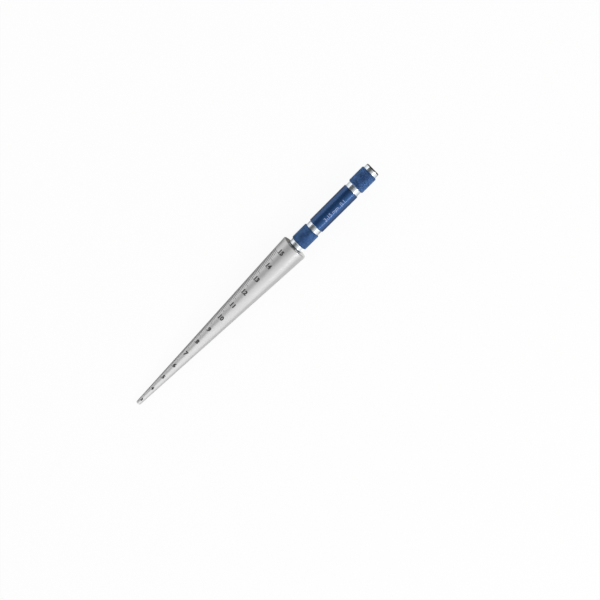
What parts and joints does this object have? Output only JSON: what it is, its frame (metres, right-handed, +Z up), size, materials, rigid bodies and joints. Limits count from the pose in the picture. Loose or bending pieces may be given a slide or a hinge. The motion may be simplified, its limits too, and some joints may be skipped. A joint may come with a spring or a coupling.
{
  "type": "taper gauge",
  "caption": "Ground steel taper gauge, one in ten, for reading hole diameters, with a blue anodised handle that has knurled grips and bright-turned bands.",
  "frame": {"origin": "on the table under the middle of the gauge's length, as it lies on the cone's flank", "axes": "+X along the gauge from the tip towards the handle, +Z up from the table, the scale's graduations on the +Y side of the top"},
  "size_m": [0.189, 0.0158, 0.0157],
  "materials": {
    "ground_steel": "fine ground, satin, with black etched graduations",
    "anodised_handle": "dark blue anodised satin, with the bands cut back to bright metal"
  },
  "bodies": {
    "root": {"gauge_cone": "ground_steel", "handle": "anodised_handle"}
  },
  "joints": []
}
